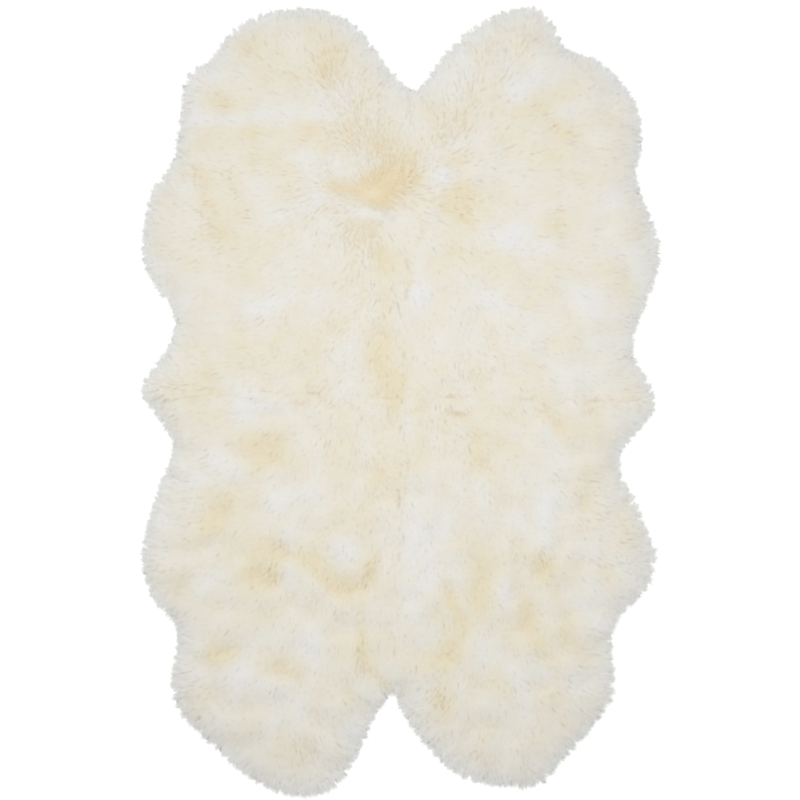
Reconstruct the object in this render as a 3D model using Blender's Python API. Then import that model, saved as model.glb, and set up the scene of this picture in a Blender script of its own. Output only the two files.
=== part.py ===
"""A four-pelt sheepskin rug lying flat: two pelts above, two below, each a skin with its wool on it.

The frame is +X right, +Y towards the upper pelts, +Z up, in metres. The origin is on the floor,
under the middle of the rug. Every pelt is two solids: the skin, a flat sheet on the floor, and the
wool, a lumpy slab that covers the skin, hangs over its cut edge to the floor and ends in locks.
"""

import math
import random
from collections import namedtuple

import bmesh
import bpy
from mathutils import Vector, noise
from mathutils.geometry import delaunay_2d_cdt
from mathutils.kdtree import KDTree

# Skin and wool
SKIN_THICKNESS = 0.002
CLEARANCE = 0.0003  # between two pelts at a seam, and between the skin and its wool
WOOL_OVERHANG = 0.040  # from the skin's cut edge to the tips of the wool
PILE_HEIGHT = 0.046  # of the combed wool, well inside the rim
RIM_HEIGHT = 0.021  # of the wool where the rim locks begin
BANK_WIDTH = 0.085  # over which the wool rises from the rim to its full height
SEAM_DIP = 0.005  # how much the wool sinks along a seam
SEAM_DIP_WIDTH = 0.018

# Lumps in the pile: coarse ones and the finer ones on them
COARSE_LUMP = 0.150
COARSE_LUMP_HEIGHT = 0.008
FINE_LUMP = 0.062
FINE_LUMP_HEIGHT = 0.0045

# Locks at the rim, which lie on the floor
LOCK_REACH = 0.021
LOCK_PITCH = 0.0208
LOCK_ROOT_SHARE = 0.90  # of the pitch that a lock's root takes
LOCK_LEAN = 0.30  # how far a tip may drift sideways, as a share of the reach
LOCK_END_MARGIN = 0.004  # bare rim beside a seam
LOCK_SEED = 7
LockSection = namedtuple("LockSection", "reach width height")
LOCK_SECTIONS = (
    LockSection(reach=0.55, width=0.62, height=0.60),
    LockSection(reach=1.00, width=0.00, height=0.16),
)

# Furrows, where the combed wool parts
FURROW_WIDTH = 0.019
Furrow = namedtuple("Furrow", "place start_x start_y end_x end_y depth")
FURROWS = (
    Furrow("between the upper pelts, at the notch", 0.036, 0.690, 0.017, 0.610, 0.011),
    Furrow("between the upper pelts, upper run", 0.017, 0.610, -0.020, 0.457, 0.008),
    Furrow("between the upper pelts, lower run", -0.020, 0.457, -0.020, 0.268, 0.007),
    Furrow("between the upper pelts, end", -0.020, 0.268, -0.059, 0.104, 0.006),
    Furrow("right edge of the combed strip", 0.142, 0.564, 0.142, 0.420, 0.007),
    Furrow("between the lower pelts, start", -0.052, -0.344, -0.089, -0.427, 0.007),
    Furrow("between the lower pelts, run", -0.089, -0.427, -0.089, -0.591, 0.008),
    Furrow("between the lower pelts, at the notch", -0.089, -0.591, -0.022, -0.655, 0.009),
    Furrow("upper left pelt, outer parting", -0.452, 0.524, -0.412, 0.374, 0.008),
    Furrow("upper left pelt, inner parting", -0.371, 0.513, -0.336, 0.432, 0.006),
    Furrow("upper left pelt, across the rump", -0.290, 0.744, -0.163, 0.732, 0.006),
    Furrow("upper left pelt, below the rump", -0.174, 0.582, -0.151, 0.490, 0.006),
    Furrow("upper right pelt, across the rump", 0.334, 0.651, 0.368, 0.605, 0.006),
    Furrow("lower left pelt, across the shoulder", -0.454, -0.097, -0.147, -0.180, 0.007),
    Furrow("lower left pelt, lower tail", -0.244, -0.840, -0.156, -0.820, 0.006),
    Furrow("lower right pelt, below the shoulder", 0.160, -0.330, 0.290, -0.390, 0.006),
)

# Mesh spacing
OUTLINE_STEPS = 10
FINE_STEP = 0.005
PILE_STEP = 0.029
SKIN_STEP = 0.024

# The tips of the wool all round the rug, anticlockwise from the notch between the upper pelts
EdgePoint = namedtuple("EdgePoint", "feature x y")
OUTLINE = (
    EdgePoint("upper notch", 0.031, 0.718),
    EdgePoint("left rump, inner flank", -0.029, 0.774),
    EdgePoint("left rump, inner flank", -0.077, 0.841),
    EdgePoint("left rump, shoulder", -0.140, 0.892),
    EdgePoint("left rump, crown", -0.232, 0.910),
    EdgePoint("left rump, shoulder", -0.329, 0.889),
    EdgePoint("left rump, outer flank", -0.398, 0.845),
    EdgePoint("left rump, step", -0.438, 0.790),
    EdgePoint("left rump, corner", -0.493, 0.755),
    EdgePoint("left rump, side", -0.505, 0.675),
    EdgePoint("left flank", -0.526, 0.554),
    EdgePoint("left hind leg, start", -0.574, 0.485),
    EdgePoint("left hind leg, bulge", -0.597, 0.351),
    EdgePoint("left hind leg, end", -0.574, 0.277),
    EdgePoint("left waist", -0.523, 0.208),
    EdgePoint("left waist", -0.532, 0.134),
    EdgePoint("left shoulder, start", -0.567, 0.090),
    EdgePoint("left shoulder, peak", -0.600, 0.032),
    EdgePoint("left shoulder, end", -0.560, -0.037),
    EdgePoint("left lower waist", -0.526, -0.109),
    EdgePoint("left lower leg, start", -0.567, -0.222),
    EdgePoint("left lower leg, bulge", -0.598, -0.346),
    EdgePoint("left lower leg, end", -0.579, -0.439),
    EdgePoint("left lower flank", -0.516, -0.527),
    EdgePoint("left lower rump, side", -0.530, -0.651),
    EdgePoint("left lower rump, corner", -0.495, -0.732),
    EdgePoint("left lower rump, slope", -0.403, -0.820),
    EdgePoint("left lower rump, slope", -0.320, -0.885),
    EdgePoint("left lower rump, crown", -0.232, -0.910),
    EdgePoint("left lower rump, crown", -0.149, -0.887),
    EdgePoint("left lower rump, inner flank", -0.094, -0.804),
    EdgePoint("left lower rump, inner flank", -0.052, -0.716),
    EdgePoint("lower notch", -0.015, -0.679),
    EdgePoint("right lower rump, inner flank", 0.008, -0.728),
    EdgePoint("right lower rump, inner flank", 0.064, -0.797),
    EdgePoint("right lower rump, crown", 0.142, -0.866),
    EdgePoint("right lower rump, crown", 0.230, -0.885),
    EdgePoint("right lower rump, crown", 0.322, -0.885),
    EdgePoint("right lower rump, slope", 0.373, -0.827),
    EdgePoint("right lower rump, corner", 0.456, -0.735),
    EdgePoint("right lower rump, side", 0.493, -0.665),
    EdgePoint("right lower flank", 0.491, -0.522),
    EdgePoint("right lower leg, end", 0.565, -0.434),
    EdgePoint("right lower leg, bulge", 0.588, -0.356),
    EdgePoint("right lower leg, start", 0.553, -0.254),
    EdgePoint("right lower waist", 0.505, -0.134),
    EdgePoint("right shoulder, end", 0.572, -0.042),
    EdgePoint("right shoulder, peak", 0.590, 0.000),
    EdgePoint("right shoulder, start", 0.576, 0.042),
    EdgePoint("right waist", 0.535, 0.132),
    EdgePoint("right hind leg, end", 0.576, 0.249),
    EdgePoint("right hind leg, bulge", 0.600, 0.346),
    EdgePoint("right hind leg, start", 0.581, 0.416),
    EdgePoint("right flank", 0.544, 0.517),
    EdgePoint("right rump, side", 0.556, 0.594),
    EdgePoint("right rump, corner", 0.539, 0.695),
    EdgePoint("right rump, outer flank", 0.461, 0.785),
    EdgePoint("right rump, step", 0.387, 0.813),
    EdgePoint("right rump, tail", 0.359, 0.855),
    EdgePoint("right rump, tail", 0.322, 0.908),
    EdgePoint("right rump, crown", 0.241, 0.903),
    EdgePoint("right rump, shoulder", 0.161, 0.859),
    EdgePoint("right rump, inner flank", 0.084, 0.783),
)

# The pelts are sewn along four straight seams that run from where they cross to the outline
SEAM_CROSSING = Vector((0.004, 0.014))
SEAM_ENDS = {
    "top": Vector((0.031, 0.718)),
    "left": Vector((-0.600, 0.032)),
    "bottom": Vector((-0.015, -0.679)),
    "right": Vector((0.590, 0.000)),
}
Pelt = namedtuple("Pelt", "name first_seam last_seam")
PELTS = (
    Pelt("upper_left", "top", "left"),
    Pelt("lower_left", "left", "bottom"),
    Pelt("lower_right", "bottom", "right"),
    Pelt("upper_right", "right", "top"),
)

WOOL_COLOUR = (0.78, 0.74, 0.64, 1.0)
WOOL_ROUGHNESS = 0.95
SKIN_COLOUR = (0.66, 0.55, 0.40, 1.0)
SKIN_ROUGHNESS = 0.85


def cross(a, b):
    """The z of the cross product of two flat vectors: positive where b is to the left of a."""
    return a.x * b.y - a.y * b.x


def smooth_loop(points, steps):
    """A closed Catmull-Rom curve through the points."""
    count = len(points)
    curve = []
    for i in range(count):
        before, start, end, after = (points[(i + k) % count] for k in (-1, 0, 1, 2))
        for step in range(steps):
            t = step / steps
            curve.append(
                0.5
                * (
                    2 * start
                    + (end - before) * t
                    + (2 * before - 5 * start + 4 * end - after) * t**2
                    + (3 * start - before - 3 * end + after) * t**3
                )
            )
    return curve


def lengths_along(path):
    """How far along the path each of its points is."""
    lengths = [0.0]
    for start, end in zip(path, path[1:]):
        lengths.append(lengths[-1] + (end - start).length)
    return lengths


def point_at(path, lengths, length):
    """The point that far along the path."""
    i = 1
    while i < len(path) - 1 and lengths[i] < length:
        i += 1
    share = (length - lengths[i - 1]) / (lengths[i] - lengths[i - 1])
    return path[i - 1].lerp(path[i], share)


def evenly(path, step):
    """The path again, with points about a step apart and both its ends kept."""
    lengths = lengths_along(path)
    count = max(1, round(lengths[-1] / step))
    return [point_at(path, lengths, lengths[-1] * i / count) for i in range(count + 1)]


def tree_of(points):
    """A search tree of flat points."""
    tree = KDTree(len(points))
    for i, point in enumerate(points):
        tree.insert(point.to_3d(), i)
    tree.balance()
    return tree


def distance_to(tree, point):
    return tree.find(point.to_3d())[2]


def inset(loop, distance):
    """The closed loop moved inwards, without the crossings that a plain offset makes at tight bulges."""
    fine = evenly(loop + loop[:1], FINE_STEP)[:-1]
    tree = tree_of(fine)
    moved = []
    for i, point in enumerate(fine):
        along = fine[(i + 1) % len(fine)] - fine[i - 1]
        inward = Vector((-along.y, along.x)).normalized()
        candidate = point + inward * distance
        if distance_to(tree, candidate) > 0.97 * distance:
            moved.append(candidate)
    return moved


def widened(polygon, distance):
    """The closed polygon with every side moved outwards by the distance."""
    moved = []
    for i, corner in enumerate(polygon):
        before = (corner - polygon[i - 1]).normalized()
        after = (polygon[(i + 1) % len(polygon)] - corner).normalized()
        outward = Vector((before.y + after.y, -before.x - after.x))
        moved.append(corner + outward * distance / (1 + before.dot(after)))
    return moved


def seam_lines(pelt):
    """The directions of the pelt's two seams, away from their crossing."""
    first = (SEAM_ENDS[pelt.first_seam] - SEAM_CROSSING).normalized()
    last = (SEAM_ENDS[pelt.last_seam] - SEAM_CROSSING).normalized()
    return first, last


def seam_distances(pelt, point):
    """How far the point lies inside the pelt from its first and its last seam."""
    first, last = seam_lines(pelt)
    away = point - SEAM_CROSSING
    return cross(first, away), cross(away, last)


def crossing_corner(pelt):
    """The pelt's corner where the seams cross, half a clearance from each of them."""
    first, last = seam_lines(pelt)
    return SEAM_CROSSING + (first + last) * (CLEARANCE / 2) / cross(first, last)


def rim_of_pelt(loop, pelt):
    """The stretch of the loop that belongs to the pelt, cut off half a clearance from its seams."""
    margins = [min(seam_distances(pelt, p)) - CLEARANCE / 2 for p in loop]
    start = next(i for i in range(len(loop)) if margins[i] > 0 >= margins[i - 1])

    def on_cut(i, k):
        share = margins[i] / (margins[i] - margins[k])
        return loop[i].lerp(loop[k], share)

    rim = [on_cut(start, start - 1)]
    i = start
    while margins[i] > 0:
        rim.append(loop[i])
        i = (i + 1) % len(loop)
    rim.append(on_cut(i - 1, i))
    return rim


def seam_sides(rim, pelt, step):
    """The pelt's two sewn sides, from the rim's end to the crossing and back to its start."""
    corner = crossing_corner(pelt)
    return evenly([rim[-1], corner], step)[1:] + evenly([corner, rim[0]], step)[1:-1]


def distance_to_furrow(furrow, point):
    """How far the point lies from the furrow's straight middle line."""
    start = Vector((furrow.start_x, furrow.start_y))
    run = Vector((furrow.end_x, furrow.end_y)) - start
    share = (point - start).dot(run) / run.length_squared
    return (point - start - run * min(1.0, max(0.0, share))).length


def furrow_depth(point):
    """How far the furrows press the wool down here; furrows that meet don't add up."""
    return max(
        furrow.depth * math.exp(-((distance_to_furrow(furrow, point) / FURROW_WIDTH) ** 2))
        for furrow in FURROWS
    )


def furrow_stations():
    """Points along each furrow's middle and both its banks, so that the mesh follows it."""
    stations = []
    for furrow in FURROWS:
        start = Vector((furrow.start_x, furrow.start_y))
        end = Vector((furrow.end_x, furrow.end_y))
        aside = (end - start).normalized().orthogonal() * FURROW_WIDTH
        for middle in evenly([start, end], PILE_STEP * 0.9):
            stations += [middle, middle + aside, middle - aside]
    return stations


def pile_height(point, pelt, rim_tree):
    """How high the wool stands: a round bank at the rim, lumps, furrows and a dip at the seams."""
    into_bank = min(1.0, distance_to(rim_tree, point) / BANK_WIDTH)
    bank = math.sqrt(1 - (1 - into_bank) ** 2)
    coarse = noise.noise((point / COARSE_LUMP).to_3d()) * COARSE_LUMP_HEIGHT
    fine = noise.noise((point / FINE_LUMP).to_3d()) * FINE_LUMP_HEIGHT
    to_seam = min(seam_distances(pelt, point))
    dip = SEAM_DIP * math.exp(-((to_seam / SEAM_DIP_WIDTH) ** 2))
    rise = (PILE_HEIGHT - RIM_HEIGHT + coarse - max(dip, furrow_depth(point))) * bank
    return RIM_HEIGHT + rise + fine


def triangulated(boundary, inner=()):
    """Flat triangles that fill the boundary and use the inner points. The boundary's come first."""
    points = list(boundary) + list(inner)
    count = len(boundary)
    sides = [(i, (i + 1) % count) for i in range(count)]
    found, _, faces, _, _, _ = delaunay_2d_cdt(points, sides, [], 1, 1e-7)
    return found, faces


def points_inside(boundary, step, stations):
    """The stations and a staggered grid of points, inside the boundary and clear of its edge."""
    tree = tree_of(evenly(list(boundary) + [boundary[0]], FINE_STEP))
    low = Vector((min(p.x for p in boundary), min(p.y for p in boundary)))
    high = Vector((max(p.x for p in boundary), max(p.y for p in boundary)))
    row_step = step * math.sqrt(3) / 2

    def is_clear(point, others, gap):
        return all((point - other).length > gap * step for other in others)

    inside = []
    for point in stations:
        clear = distance_to(tree, point) > 0.45 * step and is_clear(point, inside, 0.45)
        if clear and encloses(boundary, point):
            inside.append(point)
    placed = list(inside)
    for row in range(int((high.y - low.y) / row_step) + 1):
        for column in range(int((high.x - low.x) / step) + 1):
            point = low + Vector(((column + row % 2 / 2) * step, row * row_step))
            clear = distance_to(tree, point) > 0.55 * step and is_clear(point, placed, 0.6)
            if clear and encloses(boundary, point):
                inside.append(point)
    return inside


def encloses(boundary, point):
    """Whether the point is inside, by counting the sides that a ray to +X crosses."""
    inside = False
    for start, end in zip(boundary, list(boundary[1:]) + [boundary[0]]):
        if (start.y > point.y) != (end.y > point.y):
            x = start.x + (end.x - start.x) * (point.y - start.y) / (end.y - start.y)
            if x > point.x:
                inside = not inside
    return inside


def lock_roots(rim):
    """Where each rim lock starts and ends along the rim, as lengths."""
    whole = lengths_along(rim)[-1] - 2 * LOCK_END_MARGIN
    count = round(whole / LOCK_PITCH)
    pitch = whole / count
    bare = pitch * (1 - LOCK_ROOT_SHARE) / 2
    starts = [LOCK_END_MARGIN + i * pitch for i in range(count)]
    return [(start + bare, start + pitch - bare) for start in starts]


def lock_tips(roots, loop_tree, pelt, chance):
    """The tip of each lock: outwards, a little aside, and shorter where neighbours lean together."""
    straight = []
    for start, end in roots:
        along = end - start
        outward = Vector((along.y, -along.x)).normalized()
        straight.append((start.lerp(end, 0.5), outward, along.normalized()))
    tips = []
    for i, (middle, outward, aside) in enumerate(straight):
        before = straight[max(i - 1, 0)]
        after = straight[min(i + 1, len(straight) - 1)]
        root_gap = (after[0] - before[0]).length
        tip_gap = ((after[0] + after[1] * LOCK_REACH) - (before[0] + before[1] * LOCK_REACH)).length
        room = min(1.0, tip_gap / root_gap)
        reach = min(LOCK_REACH, distance_to(loop_tree, middle)) * chance.uniform(0.78, 1.08) * room
        lean = chance.uniform(-LOCK_LEAN, LOCK_LEAN) * reach * max(0.0, 4 * room - 3)
        tip = middle + outward * reach + aside * lean
        while min(seam_distances(pelt, tip)) < 2 * CLEARANCE:
            tip = tip.lerp(middle, 0.2)
        tips.append(tip)
    return tips


def grow_lock(mesh, wall, tip):
    """Extrudes one wall face into a lock that tapers and droops to the floor at its tip."""
    root = [v.co.copy() for v in wall.verts]
    middle = sum(root, Vector()) / len(root)
    root_height = 2 * middle.z
    for section in LOCK_SECTIONS:
        wall = bmesh.ops.extrude_discrete_faces(mesh, faces=[wall])["faces"][0]
        centre = middle.to_2d().lerp(tip, section.reach)
        for vert, start in zip(wall.verts, root):
            aside = (start - middle).to_2d() * section.width
            vert.co = (centre + aside).to_3d()
            vert.co.z = root_height * section.height if start.z > 0 else 0.0
    bmesh.ops.remove_doubles(mesh, verts=list(wall.verts), dist=1e-5)


def principled(name, colour, roughness):
    material = bpy.data.materials.new(name)
    material.use_nodes = True
    shader = material.node_tree.nodes["Principled BSDF"]
    shader.inputs["Base Color"].default_value = colour
    shader.inputs["Roughness"].default_value = roughness
    shader.inputs["Metallic"].default_value = 0.0
    material.diffuse_color = colour
    return material


def add_object(name, mesh, material):
    """Puts a finished bmesh into the scene as one object with one material."""
    data = bpy.data.meshes.new(name)
    mesh.normal_update()
    mesh.to_mesh(data)
    mesh.free()
    data.materials.append(material)
    added = bpy.data.objects.new(name, data)
    bpy.context.scene.collection.objects.link(added)
    return added


def flat_prism(boundary, low, high):
    """A straight-sided solid of the boundary between two heights."""
    mesh = bmesh.new()
    base = mesh.faces.new([mesh.verts.new((p.x, p.y, low)) for p in reversed(boundary)])
    lid = bmesh.ops.extrude_face_region(mesh, geom=[base], use_keep_orig=True)["geom"]
    for vert in (item for item in lid if isinstance(item, bmesh.types.BMVert)):
        vert.co.z = high
    bmesh.ops.recalc_face_normals(mesh, faces=mesh.faces[:])
    return mesh


def build_skin(pelt, skin_loop, material):
    """One pelt's skin: a flat sheet, straight at its seams and cut to the animal's outline elsewhere."""
    rim = rim_of_pelt(skin_loop, pelt)
    boundary = rim + seam_sides(rim, pelt, SKIN_STEP)
    return add_object("hide_" + pelt.name, flat_prism(boundary, 0.0, SKIN_THICKNESS), material)


def build_fleece(pelt, slab_loop, tip_tree, recess, material):
    """One pelt's wool: a lumpy slab with locks at its rim and a shallow recess for the skin."""
    rim = rim_of_pelt(slab_loop, pelt)
    lengths = lengths_along(rim)
    roots = [tuple(point_at(rim, lengths, s) for s in root) for root in lock_roots(rim)]
    rim_points = [rim[0]] + [point for root in roots for point in root] + [rim[-1]]
    boundary = rim_points + seam_sides(rim, pelt, PILE_STEP)
    rim_tree = tree_of(evenly(rim, FINE_STEP))

    mesh = bmesh.new()
    inner = points_inside(boundary, PILE_STEP, furrow_stations())
    found, faces = triangulated(boundary, inner)
    top = [mesh.verts.new((p.x, p.y, pile_height(p, pelt, rim_tree))) for p in found]
    base = [mesh.verts.new((p.x, p.y, 0.0)) for p in boundary]
    for face in faces:
        mesh.faces.new([top[i] for i in face])
    for face in triangulated(boundary)[1]:
        mesh.faces.new([base[i] for i in reversed(face)])
    walls = []
    for i in range(len(boundary)):
        k = (i + 1) % len(boundary)
        walls.append(mesh.faces.new([base[i], base[k], top[k], top[i]]))

    chance = random.Random(LOCK_SEED)
    tips = lock_tips(roots, tip_tree, pelt, chance)
    for i, tip in enumerate(tips):
        grow_lock(mesh, walls[1 + 2 * i], tip)
    bmesh.ops.recalc_face_normals(mesh, faces=mesh.faces[:])

    fleece = add_object("fleece_" + pelt.name, mesh, material)
    cut = fleece.modifiers.new("Recess for the skin", "BOOLEAN")
    cut.operation = "DIFFERENCE"
    cut.object = recess
    return fleece


def build_recess(skin_loop):
    """The cutter that leaves room for all four skins under the wool."""
    mesh = flat_prism(widened(skin_loop, CLEARANCE), -SKIN_THICKNESS, SKIN_THICKNESS + CLEARANCE)
    recess = add_object("recess_cutter", mesh, None)
    recess.hide_render = True
    recess.display_type = "WIRE"
    return recess


def build_rug():
    for old in list(bpy.data.objects):
        bpy.data.objects.remove(old)
    wool = principled("wool", WOOL_COLOUR, WOOL_ROUGHNESS)
    leather = principled("leather", SKIN_COLOUR, SKIN_ROUGHNESS)

    tip_loop = smooth_loop([Vector((p.x, p.y)) for p in OUTLINE], OUTLINE_STEPS)
    tip_tree = tree_of(evenly(tip_loop + tip_loop[:1], FINE_STEP))
    slab_loop = inset(tip_loop, LOCK_REACH)
    skin_edge = inset(tip_loop, WOOL_OVERHANG)
    skin_loop = evenly(skin_edge + skin_edge[:1], SKIN_STEP)[:-1]
    recess = build_recess(skin_loop)

    for pelt in PELTS:
        build_skin(pelt, skin_loop, leather)
        build_fleece(pelt, slab_loop, tip_tree, recess, wool)


build_rug()
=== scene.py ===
"""The looks of a four-pelt sheepskin rug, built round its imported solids.

The frame is +X right, +Y towards the upper pelts, +Z up, in metres, as in the solids.
"""

import math
from collections import namedtuple

import bmesh
import bpy
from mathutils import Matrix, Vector, noise
from mathutils.kdtree import KDTree


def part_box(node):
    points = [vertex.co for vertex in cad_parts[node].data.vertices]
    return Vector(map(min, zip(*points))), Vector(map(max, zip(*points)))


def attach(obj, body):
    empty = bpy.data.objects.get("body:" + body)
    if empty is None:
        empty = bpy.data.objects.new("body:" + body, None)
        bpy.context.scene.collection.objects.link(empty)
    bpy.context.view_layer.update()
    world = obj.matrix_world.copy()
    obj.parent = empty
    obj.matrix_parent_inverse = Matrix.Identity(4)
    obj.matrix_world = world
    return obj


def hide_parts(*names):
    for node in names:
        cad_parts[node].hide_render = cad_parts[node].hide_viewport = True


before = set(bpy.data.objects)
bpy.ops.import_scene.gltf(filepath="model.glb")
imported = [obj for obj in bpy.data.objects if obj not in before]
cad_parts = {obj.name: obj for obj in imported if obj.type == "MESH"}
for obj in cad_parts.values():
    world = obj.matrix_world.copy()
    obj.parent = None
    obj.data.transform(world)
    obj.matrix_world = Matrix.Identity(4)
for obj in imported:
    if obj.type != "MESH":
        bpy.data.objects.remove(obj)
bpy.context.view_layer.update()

# The rug lies on a plain pale floor. The camera is straight above it and its picture takes in a
# square of the floor a little longer than the rug.
PICTURE_SIDE = 1.848
PICTURE_CENTRE = Vector((-0.0012, 0.0046))
CAMERA_HEIGHT = 6.0
SENSOR_WIDTH = 36.0

camera_data = bpy.data.cameras.new("camera")
camera_data.sensor_width = SENSOR_WIDTH
camera_data.lens = SENSOR_WIDTH * CAMERA_HEIGHT / PICTURE_SIDE
camera = bpy.data.objects.new("camera", camera_data)
camera.location = (*PICTURE_CENTRE, CAMERA_HEIGHT)
bpy.context.scene.collection.objects.link(camera)
bpy.context.scene.camera = camera
bpy.context.scene.view_settings.view_transform = "Standard"

# Light scatters many times among white fibres before it comes out again. The lens is a soft one, and
# its softness is in pixels.
SCATTERINGS = 24
LENS_SOFTNESS = 2.4
bpy.context.scene.cycles.diffuse_bounces = SCATTERINGS
bpy.context.scene.cycles.max_bounces = SCATTERINGS
bpy.context.scene.cycles.filter_width = LENS_SOFTNESS

FLOOR_SIDE = 60.0
FLOOR_LEVEL = -0.0005
FLOOR_COLOUR = (0.93, 0.93, 0.93, 1.0)
FLOOR_GLOW = 0.40

bpy.ops.mesh.primitive_plane_add(size=FLOOR_SIDE, location=(0, 0, FLOOR_LEVEL))
floor = bpy.context.object
floor.name = "floor"
floor_finish = bpy.data.materials.new("pale floor")
floor_finish.use_nodes = True
floor_shader = floor_finish.node_tree.nodes["Principled BSDF"]
floor_shader.inputs["Base Color"].default_value = FLOOR_COLOUR
floor_shader.inputs["Roughness"].default_value = 0.9
floor_shader.inputs["Specular IOR Level"].default_value = 0.0
floor_shader.inputs["Emission Color"].default_value = (1, 1, 1, 1)
floor_shader.inputs["Emission Strength"].default_value = FLOOR_GLOW
floor.data.materials.append(floor_finish)

# The light is a studio's: a white room all round, a wide soft box over the rug's upper half, and a
# small one past its upper left corner. Both face the rug's middle, and the camera doesn't see them.
# Sides are in metres and powers in watts.
ROOM_STRENGTH = 0.510
Softbox = namedtuple("Softbox", "name x y z side power")
SOFTBOXES = (
    Softbox("overhead", 0.0, 0.25, 2.1, 2.1, 18.0),
    Softbox("upper left", -3.0, 3.4, 3.0, 1.6, 12.0),
)

world = bpy.data.worlds.new("studio")
world.use_nodes = True
world.node_tree.nodes["Background"].inputs["Color"].default_value = (1, 1, 1, 1)
world.node_tree.nodes["Background"].inputs["Strength"].default_value = ROOM_STRENGTH
bpy.context.scene.world = world
for box in SOFTBOXES:
    light_data = bpy.data.lights.new(box.name, "AREA")
    light_data.size = box.side
    light_data.energy = box.power
    light = bpy.data.objects.new(box.name, light_data)
    light.location = (box.x, box.y, box.z)
    light.rotation_euler = (-light.location).to_track_quat("-Z", "Y").to_euler()
    light.visible_camera = False
    bpy.context.scene.collection.objects.link(light)


# The skins' cut edge runs all round the rug, under the wool. It says which way is outwards, and how
# far each place is from where the wool ends.
PELTS = ("upper_left", "upper_right", "lower_left", "lower_right")
WOOL_OVERHANG = 0.040
EDGE_STEP = 0.003
SEAM_GAP = 0.002
SAME_POINT = 1e-6
ON_FLOOR = 1e-5
SIDE_NORMAL_Z = 0.5


def merged(node):
    """The node's mesh as a bmesh whose triangles share their corners."""
    mesh = bmesh.new()
    mesh.from_mesh(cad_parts[node].data)
    bmesh.ops.remove_doubles(mesh, verts=mesh.verts, dist=SAME_POINT)
    return mesh


def wall_points(node):
    """Points along a skin's cut sides, each with its outward direction."""
    mesh = merged(node)
    points = []
    for edge in mesh.edges:
        low = all(vert.co.z < ON_FLOOR for vert in edge.verts)
        sides = [face.normal for face in edge.link_faces if abs(face.normal.z) < SIDE_NORMAL_Z]
        if low and sides:
            start, end = (vert.co.copy() for vert in edge.verts)
            count = max(1, round((end - start).length / EDGE_STEP))
            points += [(start.lerp(end, (i + 0.5) / count), sides[0].copy()) for i in range(count)]
    mesh.free()
    return points


def tree_of(points):
    tree = KDTree(len(points))
    for i, point in enumerate(points):
        tree.insert(point, i)
    tree.balance()
    return tree


skin_walls = {pelt: wall_points("hide_" + pelt) for pelt in PELTS}
cut_edge = []
for pelt in PELTS:
    others = tree_of([p for other in PELTS if other != pelt for p, _ in skin_walls[other]])
    cut_edge += [wall for wall in skin_walls[pelt] if others.find(wall[0])[2] > SEAM_GAP]
cut_edge_tree = tree_of([point for point, _ in cut_edge])


def place_on_rug(point):
    """How far the place is from where the wool ends, and the way out to there."""
    flat = Vector((point.x, point.y, 0.0))
    nearest, index, distance = cut_edge_tree.find(flat)
    outward = cut_edge[index][1]
    inside = (flat - nearest).dot(outward) < 0
    if distance > EDGE_STEP:
        outward = (nearest - flat) / distance * (1 if inside else -1)
    return WOOL_OVERHANG + (distance if inside else -distance), outward


# The wool isn't even: it was combed one way here and another way there, it parts along furrows, and
# some patches are creamier than others. These are read and written as places on the rug.
Parting = namedtuple("Parting", "start_x start_y end_x end_y strength")
PARTINGS = (
    Parting(0.036, 0.690, 0.017, 0.610, 0.2),
    Parting(-0.020, 0.457, -0.020, 0.268, 0.15),
    Parting(-0.020, 0.268, -0.059, 0.104, 0.15),
    Parting(0.142, 0.564, 0.142, 0.420, 0.4),
    Parting(-0.052, -0.344, -0.089, -0.427, 0.5),
    Parting(-0.089, -0.427, -0.089, -0.591, 0.5),
    Parting(-0.089, -0.591, -0.022, -0.655, 0.8),
    Parting(-0.452, 0.524, -0.412, 0.374, 1.0),
    Parting(-0.371, 0.513, -0.336, 0.432, 0.9),
    Parting(-0.290, 0.744, -0.163, 0.732, 0.4),
    Parting(-0.174, 0.582, -0.151, 0.490, 0.5),
    Parting(-0.151, 0.490, -0.075, 0.490, 0.6),
    Parting(0.334, 0.651, 0.368, 0.605, 0.8),
    Parting(-0.454, -0.097, -0.147, -0.180, 0.25),
    Parting(-0.244, -0.840, -0.156, -0.820, 0.4),
)
PARTING_SPREAD = 0.028
PARTING_WIDTH = 0.011
PARTING_OPENS = 0.45
# The cream along a parting is partly the wool's depth showing and partly painted shade in the furrow.
PARTING_CREAM_AND_SHADE = 0.8
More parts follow.
